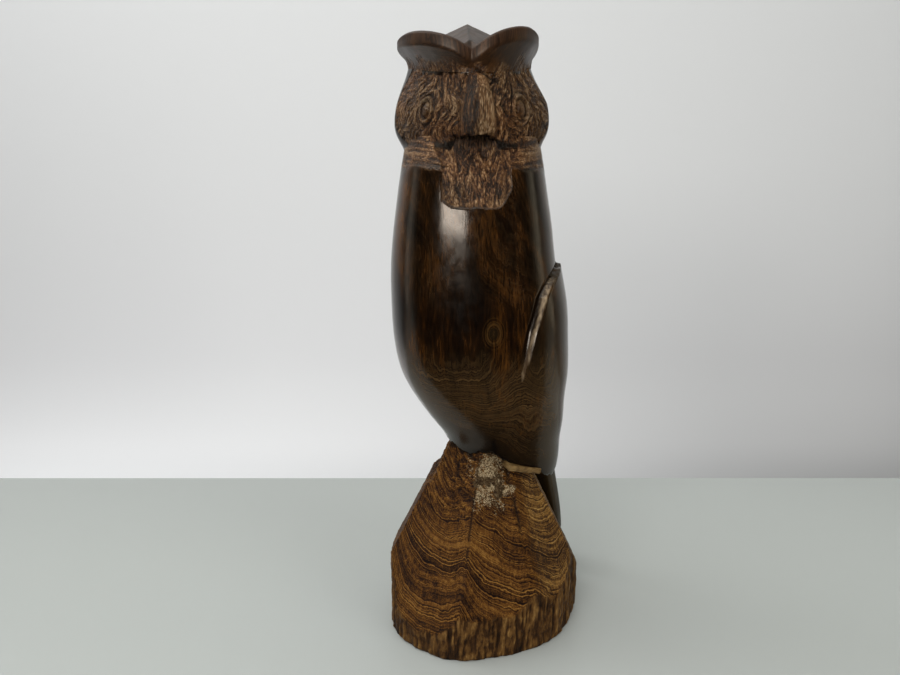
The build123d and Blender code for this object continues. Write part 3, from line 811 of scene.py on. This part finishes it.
def owl_head():
    """The head: carved face, brows that stand out above it, and crown."""
    compass = compass_columns(0.37, 0.9, 0, 76, 39)[None, :]
    from_front = np.abs(wrapped(compass))
    notch = np.abs(wrapped(compass - NOTCH_COMPASS))
    rim_high = around(CREST_RIM, 2, compass) - 0.8 * np.exp(-notch / 4.0)
    rim_out = around(CREST_RIM, 1, compass) - 0.8 * np.exp(-notch / 5.0) - 0.5
    crest = ease(122, 96, from_front)  # 1 where the brows stand out, 0 behind
    line = face_top(compass)
    strip = 1.0 + crest * (5.4 - 2.8 * ease(45, 82, from_front))

    # rows: neck, face, the brow's cove and its band
    cove_top = rim_high - strip
    height = np.concatenate([
        252 + 11.0 * shares(16, False) + 0 * compass,
        263 + (line - 263) * shares(86, False),
        line + (cove_top - line) * shares(26, False),
        cove_top + strip * shares(13),
    ])
    plain, waist = head_radius(compass, height), head_radius(compass, line)
    rise = np.clip((height - line) / (cove_top - line), 0, 1)
    flare = rise ** (1.45 + 0.8 * ease(40, 80, from_front))
    crease = 1.3 * np.exp(-notch / 6.0) * ease(0.0, 0.4, rise) * crest
    brow = waist + (rim_out - waist) * flare * crest + (plain - waist) * (1 - crest) - crease
    radius = np.where(height > line, brow, plain)
    on_band = np.clip((height - cove_top) / strip, 0, 1)
    rounding = 0.35 * ease(0, 0.2, on_band) - 1.0 * ease(0.82, 1.0, on_band) ** 2
    points = polar(compass, np.where(on_band > 0, radius + crest * rounding, radius), height, HEAD_X, HEAD_Y)

    # the face is worked in a flat map: distance round the head from the beak, and height
    across = np.radians(wrapped(compass - 0.5)) * 36.0 + 0 * height
    away, side = np.abs(across), np.sign(across)
    on_face = ease(260.0, 262.3, height + 1.5 * rough(points, 3.0, 95, 2))
    on_face = on_face * ease(0.3, -0.8, height - line + 3.4 * rough(points, 3.2, 97, 3))
    reach = np.interp(height, [262, 266, 272, 282, 290, 297, 302], [43, 49, 52.5, 53.0, 50.5, 46.5, 43])
    disc = ease(0.6, -0.6, away - reach) * on_face
    # beak: two planes meeting on a ridge that grows forward towards its tip
    beak_half = np.interp(height, [262, 268, 280, 294], [12.5, 12.0, 9.5, 5.0])
    beak_half = beak_half * np.where(across < 0, 0.72, 1.0)
    over = height - 265.8 + 0.12 * away + 2.2 * rough(points, 3.0, 89, 3)
    beak_out = np.interp(over, [-1.0, 0.3, 1.8, 6.0, 17, 28], [0.0, 0.0, 5.4, 5.6, 3.6, 1.0])
    beak = np.clip(1 - away / beak_half, 0, 1)
    beak_mark = ease(0.02, 0.25, beak) * on_face * ease(-0.5, 1.5, over)
    throat = ease(0.4, -0.9, over) * ease(15.5, 11.5, away) * ease(254, 257, height)
    depth = beak_out * beak * ease(0.5, -2.0, height - line) - 2.6 * throat * ease(257, 262, height)
    relief, ring_mark, ball_mark, near_eye = eyes(across, height)
    depth = depth + relief

    feathers = 0.5 * strokes(across, height, feather_way, 6.0, 1.15, 73)
    feathers = np.clip(feathers + 0.6 * strokes(across, height, feather_way, 4.0, 0.58, 77), -1, 1)
    straight = strokes(across, height, lambda a, u: unit(0.10 * np.sign(a), -np.ones_like(a)), 12.0, 0.8, 79)
    feathered = disc * ease(0.55, 1.15, near_eye) * (1 - beak_mark) * (1 - throat)
    depth = depth + feathered * (0.42 * feathers - 0.30) + 0.5 * throat * straight
    depth = depth + beak_mark * (0.16 * straight - 0.1) - 0.5 * disc * bump(away - beak_half, 0.6, 1.3)
    cracks = face_cracks(across, height)
    depth = depth - 1.1 * np.clip(cracks, 0, 1)
    # brow: light rasp marks along the foot of the cove
    in_cove = ease(0, 0.02, rise) * (1 - on_band) * crest
    rasp = strokes(across, height, lambda a, u: unit(0.35 * np.sign(a), np.ones_like(a)), 6.0, 0.9, 83)
    scored = in_cove * ease(0.55, 0.1, rise + 0.8 * rough(points, 7.0, 85, 2))
    depth = (depth + scored * 0.14 * rasp + 0.12 * rough(points, 24.0, 87, 2)) * ease(252, 258, height)
    points = points + normals(points) * depth[..., None]
    roof, crack_shade = crown(points[-1:], crest)

    # marks: what is carved, how, and where shade is painted
    way = feather_way(across, height)
    lay = stepped((np.arctan2(*way) + 0.5 * pi) % pi - 0.5 * pi)
    # painted light and shade on the beak: its right plane lighter, its left plane darker
    painted_beak_light = 0.30 * ease(0.0, 1.2, across) * ease(10.5, 8.5, across) * (1 - 0.5 * straight)
    painted_beak_light = beak_mark * (painted_beak_light - 0.22 * ease(0.5, -0.5, across))
    # below and corner are painted shadow under the cheeks' rim and in the corners beside the throat
    below = bump(height, 261.2, 1.5) * ease(95, 70, from_front) * (1 - throat)
    corner = bump(away, 15.0, 2.0) * ease(263.5, 262.0, height) * ease(258, 260, height)
    under = ease(261.5, 260.0, height) * (1 - throat) * ease(100, 80, from_front)
    straightened = beak_mark + throat > 0.5
    ridge = np.where(straightened, 0.48 + 0.26 * straight + painted_beak_light, 0.5 + 0.5 * feathers)
    carved = disc * (1 - 0.6 * ball_mark) * (1 - 0.4 * ring_mark) + 0.55 * scored + throat + 0.85 * under
    # painted shade also under the beak, in the cracks and in the grooves round each eye
    painted_shade = 0.9 * cracks + below + corner + 0.75 * throat * ease(255, 262, height)
    painted_shade = painted_shade + 0.7 * bump(near_eye, 0.77, 0.10) + 0.65 * bump(near_eye, 1.28, 0.10)
    marks = {  # each on the head, then on the crown
        "carved": (np.clip(carved, 0, 1), 0.0),
        "ridge": (ridge * (1 - ring_mark * 0.6) + ring_mark * 0.72, 0.0),
        "lay": (np.where(under > 0.5, 0.5 * pi, np.where(straightened, stepped(0.12 * side), lay)), 0.0),
        "painted_shade": (np.clip(painted_shade, 0, 1), crack_shade),
        "sapwood": (0 * height, 0.0),
        "strip": (on_band * crest + 0.4 * in_cove, 0.7),
    }
    marks = {name: np.concatenate([head, top + 0 * crack_shade]) for name, (head, top) in marks.items()}
    return skin("owl_head", np.concatenate([points, roof]), marks, "polished_ironwood",
                bottom=(HEAD_X, HEAD_Y, 250.0))


# ---- tail --------------------------------------------------------------------------------
def owl_tail():
    """The tail: a tapering plank that leans back behind the stump."""
    height = spaced(25, 150, lambda z: 0.9 + 0 * z)[:, None]
    turn = np.radians(np.linspace(0, 360, 150, endpoint=False))[None, :]
    x, y, wide, thick = (spline(TAIL_SECTIONS[::-1, 0], TAIL_SECTIONS[::-1, k], height) for k in (1, 2, 3, 4))
    a, b = wide * squared(np.sin(turn), TAIL_POWER), -thick * squared(np.cos(turn), TAIL_POWER)
    a, b = turned(a, b, radians(-BODY_TURN))
    points = spot(x + a, y + b, height)
    tip = ease(30, 25, height)
    points[..., 0] -= (points[..., 0] - x) * 0.12 * tip
    points[..., 1] -= (points[..., 1] - y) * 0.5 * tip
    points = points + normals(points) * (0.3 * rough(points, 22.0, 91, 2))[..., None]
    end = points[:1] * 0.5 + points[0].mean(0) * 0.5 - [0, 0, 0.4]
    marks = dict.fromkeys(("carved", "ridge", "lay", "sapwood", "painted_shade"), 0.0)
    return skin("owl_tail", np.concatenate([end, points]), marks, "polished_ironwood")


# ---- stump -------------------------------------------------------------------------------
def stump_radius(compass, height):
    """Distance of the stump's surface from the axis, its depth inside the log, and that to the next face."""
    turn = np.radians(compass)
    place = spot(np.sin(turn) * 50, -np.cos(turn) * 50, height)
    log = around(LOG_OUTLINE, 1, compass) + 1.0 * rough(place, (4.0, 4.0, 26.0), 101, 3)
    log = log + 0.6 * rough(place, 14.0, 104, 2)
    faces = []
    for middle, distance, foot, lean in HEWN_FACES:
        lean = lean + 0.05 * (noise(place * [1, 1, 0.3], 16.0, 107) - 0.5)
        away = np.cos(np.radians(wrapped(compass - middle)))
        faces.append(np.where(away > 0.25, (distance - (height - foot) * lean) / np.maximum(away, 0.25), 1e3))
    hewn, second = np.sort(np.stack(faces), 0)[:2]
    # the upper left has a small ledge where a chip came away
    ledge = ease(-172, -150, compass) * ease(-52, -66, compass)
    hewn = hewn - ledge * 2.6 * ease(82.5, 86.0, height + 1.5 * rough(place, 5.0, 109, 2))
    return np.minimum(log, hewn), log - hewn, second - hewn


def stump_place(compass, height):
    return polar(compass, stump_radius(compass, height)[0], height)


def stump():
    """The hewn stump, closed below and along the seat."""
    compass = compass_columns(0.66, 0.95, 0, 100, 50)[None, :]
    high, _ = seam_line(stump_place, compass, 100.0)
    height = high * spaced(0.0, 1.0, lambda t: 0.68 / 100 + 0 * t)[:, None]
    radius, below, crease = stump_radius(compass, height)
    points = polar(compass, radius, height)
    side, faced = ease(0.5, -0.5, below), np.abs(compass) < 60
    # tool marks: shallow chatter across the faces, and creases where two faces meet
    chatter = strokes(np.radians(compass) * 48 + 0 * height, height,
                      lambda a, u: unit(np.ones_like(a), -0.42 - 0.15 * np.sin(a / 9)), 10.0, 0.95, 113)
    upper = ease(60, 92, height) * ease(10, -20, compass)
    depth = 0.30 * rough(points, (6.0, 6.0, 3.0), 117, 3) + (0.12 + 0.42 * upper) * chatter * (1 - side)
    seam = np.exp(-(crease / 0.55) ** 2) * (1 - side) * ease(4, 20, below + height * 0.2) * faced
    fibres = strokes(np.radians(compass) * 50 + 0 * height, height,
                     lambda a, u: unit(0.06 + 0 * a, np.ones_like(a)), 12.0, 1.1, 119)
    depth = (depth - 0.9 * seam + side * 0.55 * fibres) * ease(0, 1.2, height)
    points = points + normals(points) * depth[..., None]
    points[..., :2] *= 1 - 0.012 * ease(1.6, 0, height)[..., None]
    # marks: sawdust below the seat, painted olive light on the right, and painted shade in the creases and
    # along the torn rim under the seat
    spread = np.hypot((compass - 6 - 0.35 * (92 - height)) / 18, (height - 92) / 12.5)
    dust = ease(1.55, 0.35, spread + 1.2 * rough(points, 4.5, 121, 3))
    painted_olive_light = ease(34, 44, compass) * ease(130, 100, compass) * (1 - side) * ease(22, 34, height)
    rim = ease(2.2, 0.5, high - height + 3.5 * rough(points, 3.0, 123, 3))
    painted_shade = 0.95 * seam * ease(0.35, 0.6, noise(points, 5.0, 125)) + 0.9 * rim
    marks = {"side": side, "painted_olive_light": painted_olive_light, "painted_shade": np.clip(painted_shade, 0, 1), "dust": dust,
             "ridge": 0.5 + 0.5 * np.where(side > 0.5, fibres, chatter * (0.2 + 0.8 * upper))}
    base = np.stack([points[0] * [share, share, 1] for share in (0.3, 0.6, 0.85, 0.97)])
    top = seat_rows(points[-1], (0.985, 0.95, 0.86, 0.7, 0.5, 0.25), (5, 0), -0.2)
    return skin("stump", np.concatenate([base, points, top]), carried_on(marks, len(base), len(top)),
                "raw_ironwood", bottom=(0, 0, 0), top=(5, 0, 99.0))


# ---- filler, shim and pegs ---------------------------------------------------------------
def sheet_skin(name, points, thickness=1.5):
    """A closed slab whose outer face is a grid of points, rows up and columns to the right."""
    outward = points * [1, 1, 0]
    inner = points - outward / np.linalg.norm(outward, axis=2, keepdims=True) * thickness
    return skin(name, np.concatenate([points, inner[:, ::-1]], 1), {"tint": 0.0}, "sawdust_filler")


def filler_patch():
    """What ran down the front of the stump: its rim dives under the stump's own surface."""
    u, v = np.linspace(-1, 1, 90)[None, :], np.linspace(-1, 1, 90)[:, None]
    compass = 4.0 + 25.0 * u * (1 - 0.25 * (1 - v))
    height = 92.0 + 13.0 * v + 0 * u
    radius, _, _ = stump_radius(compass, height)
    swell = 1.1 * (1 - np.hypot(u, v * 0.95) ** 2) - 1.20
    swell = swell + 2.6 * rough(polar(compass, radius, height), 6.0, 131, 4)
    return sheet_skin("filler_patch", polar(compass, radius + np.clip(swell, -1.6, 1.6), height))


def seam_bed():
    """The ragged bed of filler in the seam, seen as a thin broken line round the seat."""
    compass = np.linspace(-180, 180, 420, endpoint=False)[None, :]
    high, here = seam_line(stump_place, compass, 98.0)
    radius, _, _ = stump_radius(compass, high)
    lift = np.array([-1.4, -0.8, 0.0, 0.7, 1.2, 1.5])[:, None]
    bulge = np.array([-1.2, -0.3, 0.2, 0.1, -0.5, -1.6])[:, None]
    inset = 0.7 + 1.6 * noise(here, 6.0, 141)
    points = polar(compass, radius - inset + bulge, high + lift)
    points = points + rough(points, 2.4, 143, 3)[..., None] * 0.8
    return skin("seam_bed", points, {"tint": 0.0}, "sawdust_filler", bottom=(5, 0, 97.5), top=(5, 0, 100.5))


def grain_scatter():
    """A node tree that strews small grains over a surface, and the identifiers of its inputs."""
    tree = bpy.data.node_groups.new("strewn_grains", "GeometryNodeTree")
    sockets = {}
    for name, kind, value in (("Geometry", "Geometry", None), ("Density", "Float", 2.0e6),
                              ("Size", "Float", 0.0005), ("Seed", "Int", 7), ("Finish", "Material", None)):
        sockets[name] = tree.interface.new_socket(name, in_out="INPUT", socket_type="NodeSocket" + kind)
        if value is not None:
            sockets[name].default_value = value
    tree.interface.new_socket("Geometry", in_out="OUTPUT", socket_type="NodeSocketGeometry")

    def node(kind, inputs=None, output=0, **settings):
        return add_node(tree, kind, inputs, **settings).outputs[output]

    given = add_node(tree, "NodeGroupInput").outputs
    points = node("GeometryNodeDistributePointsOnFaces",
                  {"Mesh": given["Geometry"], "Density": given["Density"], "Seed": given["Seed"]}, "Points")
    grain = node("GeometryNodeMeshIcoSphere", {"Radius": 1.0, "Subdivisions": 1}, "Mesh")
    stretch = node("FunctionNodeRandomValue", {"Min": (0.5, 0.35, 0.3), "Max": (1.7, 0.9, 0.8)}, "Value",
                   data_type="FLOAT_VECTOR")
    turn = node("FunctionNodeRandomValue", {"Max": (2 * pi, 2 * pi, 2 * pi)}, "Value",
                data_type="FLOAT_VECTOR")
    size = node("ShaderNodeVectorMath", {0: stretch, "Scale": given["Size"]}, operation="SCALE")
    grains = node("GeometryNodeInstanceOnPoints",
                  {"Points": points, "Instance": grain, "Rotation": turn, "Scale": size}, "Instances")
    tint = node("FunctionNodeRandomValue", output=1)
    grains = node("GeometryNodeStoreNamedAttribute", {"Geometry": grains, "Name": "tint", "Value": tint},
                  "Geometry", domain="INSTANCE")
    solid = node("GeometryNodeRealizeInstances", {"Geometry": grains}, "Geometry")
    dressed = node("GeometryNodeSetMaterial", {"Geometry": solid, "Material": given["Finish"]}, "Geometry")
    add_node(tree, "NodeGroupOutput", {"Geometry": dressed})
    return tree, {name: socket.identifier for name, socket in sockets.items()}


def strewn(name, surface, **values):
    """Grains over a surface, as a plain mesh of their own; the values are the tree's inputs."""
    tree, identifiers = grain_scatter()
    carrier = linked(name + "_carrier", surface.data.copy())
    modifier = carrier.modifiers.new("grains", "NODES")
    modifier.node_group = tree
    for key, value in values.items():
        modifier[identifiers[key]] = value
    bpy.context.view_layer.update()
    mesh = bpy.data.meshes.new_from_object(carrier.evaluated_get(bpy.context.evaluated_depsgraph_get()))
    bpy.data.objects.remove(carrier)
    if not mesh.polygons:
        raise RuntimeError(f"no grains were strewn over {surface.name}")
    return linked(name, mesh)


def shim_strip():
    """A thin split strip with a squared end, driven into the low side of the seam."""
    low, high = (Vector(corner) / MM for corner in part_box("seam_shim"))
    middle = (low + high) / 2 + Vector((-2.0, -1.5, 4.2))
    half_wide, half_thick, squareness = 4.6, 1.6, 0.22
    along = np.linspace(-10.5, 9.0, 60)[:, None]
    angle = np.linspace(0, 2 * pi, 40, endpoint=False)[None, :]
    a = half_wide * squared(np.cos(angle), squareness) + 0 * along
    b = half_thick * squared(np.sin(angle), squareness) + 0 * along
    turn, tilt = radians(24), radians(17)
    x, y = along * cos(turn) - a * sin(turn), along * sin(turn) + a * cos(turn)
    place = spot(along, a, b)
    b = b + 0.45 * rough(place, (9.0, 2.0, 2.0), 151, 3)
    x = x + 0.5 * rough(place, 2.5, 154, 2)
    points = spot(middle[0] + x * cos(tilt) + b * sin(tilt), middle[1] + y,
                  middle[2] - x * sin(tilt) + b * cos(tilt))
    return skin("shim_strip", points[::-1], {}, "pale_shim")


# ---- stage -------------------------------------------------------------------------------
NEAR_EDGE, STAGE_HALF = -0.07, 3.0  # where the mirrored part of the table starts, and how far the stage goes
BACKDROP_GAP, BACKDROP_LOW, BACKDROP_HIGH = 0.45, -0.5, 2.5
# name, place, target, size, power in watts, colour, and whether the polish mirrors it
LIGHTS = (
    ("window", (-0.40, -0.92, 0.47), (-0.02, 0, 0.21), (0.52, 0.22), 6.6, (1.0, 0.96, 0.93), True),
    ("sky", (-0.25, -0.15, 1.8), (0, 0, 0.1), (2.4, 1.8), 21.0, (0.98, 1.0, 1.0), True),
    ("backdrop_light", (-0.95, 0.05, 1.5), (-0.35, 0.62, 0.25), (1.8, 0.4), 11.4, (1, 1, 1), True),
    ("backdrop_uplight", (-0.5, 0.36, -0.42), (-0.4, 0.63, 0.05), (1.6, 0.25), 4.0, (1, 1, 1), True),
    ("fill", (0.90, -0.75, 0.50), (0, 0, 0.16), (0.8, 0.7), 6.5, (1.0, 0.98, 0.92), False),
)


def plane(name, corners, finish):
    """A flat four-cornered stage piece."""
    mesh = bpy.data.meshes.new(name)
    mesh.from_pydata(corners, [], [(0, 1, 2, 3)])
    mesh.materials.append(finish)
    piece = linked(name, mesh)
    return piece


def across_stage(low_y, high_y, low_z=0.0, high_z=0.0):
    """Corners of a stretch of table or wall, from one side of the stage to the other."""
    return [(-STAGE_HALF, low_y, low_z), (STAGE_HALF, low_y, low_z),
            (STAGE_HALF, high_y, high_z), (-STAGE_HALF, high_y, high_z)]


def area_light(name, place, target, size, power, colour, mirrored):
    """A rectangular soft light that looks at a target."""
    data = bpy.data.lights.new(name, "AREA")
    data.shape, data.size, data.size_y = "RECTANGLE", *size
    data.energy, data.color = power, colour
    lamp = linked(name, data)
    lamp.location = place
    lamp.rotation_euler = (Vector(target) - Vector(place)).to_track_quat("-Z", "Y").to_euler()
    lamp.visible_glossy = mirrored


def room_light(scene):
    """A pale room, cooler on the left, whose dark front shows only in the polish, as a black flag would."""
    scene.world = bpy.data.worlds.new("room")
    s = Shader(scene.world, "Background", "Generated")
    x, y, _ = s.parts(s.place)
    tint = s.mix(s.between(x, -1.0, 1.0, shape="LINEAR"), (0.79, 0.775, 0.71), (0.80, 0.73, 0.57))
    shade = s.mix(s.between(y, -0.15, 0.22), (0.010, 0.009, 0.008), tint)
    seen = s.mix(s.node("ShaderNodeLightPath", output="Is Camera Ray"), shade, (0.36, 0.37, 0.36))
    s.finish(Color=seen, Strength=s.between(x, -1.0, 1.0, 1.4, 1.7, shape="LINEAR"))


# ---- settings and operators --------------------------------------------------------------
class OwlSettings(bpy.types.PropertyGroup):
    grain_size: bpy.props.FloatProperty(name="Grain Size", description="Size of a crumb of filler",
                                        default=0.00034, subtype="DISTANCE", unit="LENGTH")
    grain_density: bpy.props.FloatProperty(name="Grain Density", default=1.0e6,
                                           description="Crumbs of filler per square metre")


class StageSettings(bpy.types.PropertyGroup):
    table_colour: bpy.props.FloatVectorProperty(name="Table", description="Colour of the table",
                                                default=(0.348, 0.370, 0.357), subtype="COLOR", size=3)
    wall_colour: bpy.props.FloatVectorProperty(name="Wall", description="Colour of the backdrop",
                                               default=(0.716, 0.727, 0.738), subtype="COLOR", size=3)
    table_depth: bpy.props.FloatProperty(name="Table Depth", default=0.181, subtype="DISTANCE", unit="LENGTH",
                                         description="From the owl's axis to the table's far edge")
    focal_length: bpy.props.FloatProperty(name="Focal Length", default=27.04, unit="CAMERA",
                                          description="Focal length on a 36 mm wide frame")
    camera_place: bpy.props.FloatVectorProperty(name="Camera", description="Where the camera stands", size=3,
                                                default=(-0.0195, -0.362, 0.239), subtype="TRANSLATION")
    camera_pitch: bpy.props.FloatProperty(name="Pitch", description="How far the camera looks down",
                                          default=radians(12.0), subtype="ANGLE")


def ready(piece, slot, *nodes):
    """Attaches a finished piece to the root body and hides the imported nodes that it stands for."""
    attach(piece, "root")
    if nodes:
        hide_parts(*nodes)


class CARVEDOWL_OT_stump(bpy.types.Operator):
    """Build the hewn stump"""
    bl_idname = "carved_owl.stump"
    bl_label = "Hewn Stump"

    def execute(self, context):
        ready(stump(), "raw_ironwood", "base_block")
        return {"FINISHED"}


class CARVEDOWL_OT_owl(bpy.types.Operator):
    """Build the owl's body, head and tail"""
    bl_idname = "carved_owl.owl"
    bl_label = "Owl"

    def execute(self, context):
        ready(owl_body(), "polished_ironwood", "owl_figure")
        ready(owl_head(), "polished_ironwood")
        ready(owl_tail(), "polished_ironwood")
        return {"FINISHED"}


class CARVEDOWL_OT_seam(bpy.types.Operator):
    """Build the filler, its crumbs and the shim in the seam, and finish the pegs"""
    bl_idname = "carved_owl.seam"
    bl_label = "Seam"

    def execute(self, context):
        settings = context.scene.carved_owl
        bed, patch = seam_bed(), filler_patch()
        crumbs = strewn("filler_crumbs", patch, Density=settings.grain_density, Size=settings.grain_size,
                        Seed=7, Finish=material("sawdust_filler"))
        ready(patch, "sawdust_filler", "joint_filler")
        ready(bed, "sawdust_filler")
        ready(crumbs, "sawdust_filler")
        ready(shim_strip(), "pale_shim", "seam_shim")
        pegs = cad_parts["pegs"]
        pegs.data.materials.clear()
        pegs.data.materials.append(material("peg_wood"))
        return {"FINISHED"}


class CARVEDOWL_OT_stage(bpy.types.Operator):
    """Build the table, backdrop, lights and camera"""
    bl_idname = "carved_owl.stage"
    bl_label = "Stage"

    def execute(self, context):
        settings, scene = context.scene.carved_owl_stage, context.scene
        table = new_shader("table_paint").finish(Base_Color=tuple(settings.table_colour), Roughness=0.5)
        wall = new_shader("backdrop_paint").finish(Base_Color=tuple(settings.wall_colour), Roughness=0.6)
        plane("table", across_stage(NEAR_EDGE, settings.table_depth), table)
        apron = plane("table_front", across_stage(-STAGE_HALF, NEAR_EDGE), table)
        apron.visible_glossy = False
        back = settings.table_depth + BACKDROP_GAP
        plane("backdrop", across_stage(back, back, BACKDROP_LOW, BACKDROP_HIGH), wall)
        for light in LIGHTS:
            area_light(*light)
        room_light(scene)
        camera = linked("camera", bpy.data.cameras.new("camera"))
        camera.data.sensor_width, camera.data.lens = 36.0, settings.focal_length
        camera.data.clip_start = 0.01
        camera.location = settings.camera_place
        camera.rotation_euler = (radians(90) - settings.camera_pitch, 0, 0)
        scene.camera = camera
        scene.view_settings.view_transform = "Standard"
        return {"FINISHED"}


class CARVEDOWL_PT_panel(bpy.types.Panel):
    """Lists the sizes and colours, and the steps that build the owl"""
    bl_idname = "CARVEDOWL_PT_panel"
    bl_label = "Carved Owl"
    bl_space_type = "VIEW_3D"
    bl_region_type = "UI"
    bl_category = "Carved Owl"

    def draw(self, context):
        for place, group in SETTINGS.items():
            for name in group.__annotations__:
                self.layout.prop(getattr(context.scene, place), name)
        for step in STEPS:
            self.layout.operator(step.bl_idname)


SETTINGS = {"carved_owl": OwlSettings, "carved_owl_stage": StageSettings}
STEPS = (CARVEDOWL_OT_stage, CARVEDOWL_OT_stump, CARVEDOWL_OT_owl, CARVEDOWL_OT_seam)
CLASSES = (*SETTINGS.values(), *STEPS, CARVEDOWL_PT_panel)


def register():
    for kind in CLASSES:
        bpy.utils.register_class(kind)
    for place, group in SETTINGS.items():
        setattr(bpy.types.Scene, place, bpy.props.PointerProperty(type=group))


def unregister():
    for place in SETTINGS:
        delattr(bpy.types.Scene, place)
    for kind in reversed(CLASSES):
        bpy.utils.unregister_class(kind)


def main():
    register()
    bpy.ops.carved_owl.stage()
    bpy.ops.carved_owl.stump()
    bpy.ops.carved_owl.owl()
    bpy.ops.carved_owl.seam()


if __name__ == "__main__":
    main()
